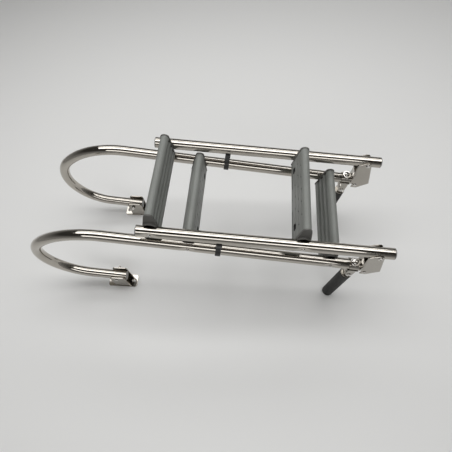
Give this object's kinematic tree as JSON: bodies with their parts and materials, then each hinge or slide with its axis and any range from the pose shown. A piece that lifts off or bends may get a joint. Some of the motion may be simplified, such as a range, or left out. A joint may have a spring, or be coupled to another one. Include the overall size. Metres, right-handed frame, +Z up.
{
  "type": "folding hook swim ladder",
  "caption": "Folding boat swim ladder with gunwale hooks, moulded steps, pinned deck brackets and rubber standoff feet, lying folded.",
  "frame": {"origin": "bottom centre of the box around the folded ladder as it rests on its deck brackets and standoff feet", "axes": "+X runs from the hooks to the fold hinge, +Y across the steps, +Z up; left is -Y and right is +Y"},
  "size_m": [0.8585, 0.28, 0.375],
  "materials": {
    "polished_stainless": "polished stainless tube and plate",
    "step_plastic": "satin light grey moulding",
    "cap_plastic": "matte warm grey moulding",
    "clip_plastic": "black moulding",
    "foot_rubber": "matt dark grey rubber",
    "plug_plastic": "grey plug"
  },
  "bodies": {
    "upper_section": {"hook_rail_left": "polished_stainless", "hinge_channel_left": "polished_stainless", "channel_cap_bolt_left": "polished_stainless", "fold_pivot_bolt_left": "polished_stainless", "channel_bolt_left": "polished_stainless", "bracket_pin_left": "polished_stainless", "arm_plug_left": "plug_plastic", "rail_clip_left": "clip_plastic", "standoff_clamp_left": "polished_stainless", "standoff_bolt_left": "polished_stainless", "hook_rail_right": "polished_stainless", "hinge_channel_right": "polished_stainless", "channel_cap_bolt_right": "polished_stainless", "fold_pivot_bolt_right": "polished_stainless", "channel_bolt_right": "polished_stainless", "bracket_pin_right": "polished_stainless", "arm_plug_right": "plug_plastic", "rail_clip_right": "clip_plastic", "standoff_clamp_right": "polished_stainless", "standoff_bolt_right": "polished_stainless", "hook_step_upper": "step_plastic", "hook_step_upper_cap_left": "cap_plastic", "hook_step_upper_cap_right": "cap_plastic", "hook_step_lower": "step_plastic", "hook_step_lower_cap_left": "cap_plastic", "hook_step_lower_cap_right": "cap_plastic", "hook_step_screws": "polished_stainless"},
    "lower_section": {"fold_rail_left": "polished_stainless", "fold_rail_plugs_left": "plug_plastic", "fold_rail_right": "polished_stainless", "fold_rail_plugs_right": "plug_plastic", "fold_step_upper": "step_plastic", "fold_step_upper_cap_left": "cap_plastic", "fold_step_upper_cap_right": "cap_plastic", "fold_step_lower": "step_plastic", "fold_step_lower_cap_left": "cap_plastic", "fold_step_lower_cap_right": "cap_plastic", "fold_step_screws": "polished_stainless"},
    "deck_bracket_left": {"deck_bracket_left": "polished_stainless"},
    "standoff_left": {"standoff_leg_left": "polished_stainless", "standoff_foot_left": "foot_rubber"},
    "deck_bracket_right": {"deck_bracket_right": "polished_stainless"},
    "standoff_right": {"standoff_leg_right": "polished_stainless", "standoff_foot_right": "foot_rubber"}
  },
  "joints": [
    {"name": "fold_hinge", "type": "hinge", "parent": "upper_section", "child": "lower_section", "pos_m": [0.39701, 0, 0.27165], "axis": [0, 1, 0], "range_deg": [0, 180]},
    {"name": "deck_bracket_pivot_left", "type": "hinge", "parent": "upper_section", "child": "deck_bracket_left", "pos_m": [-0.25484, -0.1205, 0.048], "axis": [0, 1, 0], "range_deg": [-90, 30]},
    {"name": "standoff_pivot_left", "type": "hinge", "parent": "upper_section", "child": "standoff_left", "pos_m": [0.35633, -0.1205, 0.16395], "axis": [0, 1, 0], "range_deg": [0, 80]},
    {"name": "deck_bracket_pivot_right", "type": "hinge", "parent": "upper_section", "child": "deck_bracket_right", "pos_m": [-0.25484, 0.1205, 0.048], "axis": [0, 1, 0], "range_deg": [-90, 30]},
    {"name": "standoff_pivot_right", "type": "hinge", "parent": "upper_section", "child": "standoff_right", "pos_m": [0.35633, 0.1205, 0.16395], "axis": [0, 1, 0], "range_deg": [0, 80]}
  ]
}
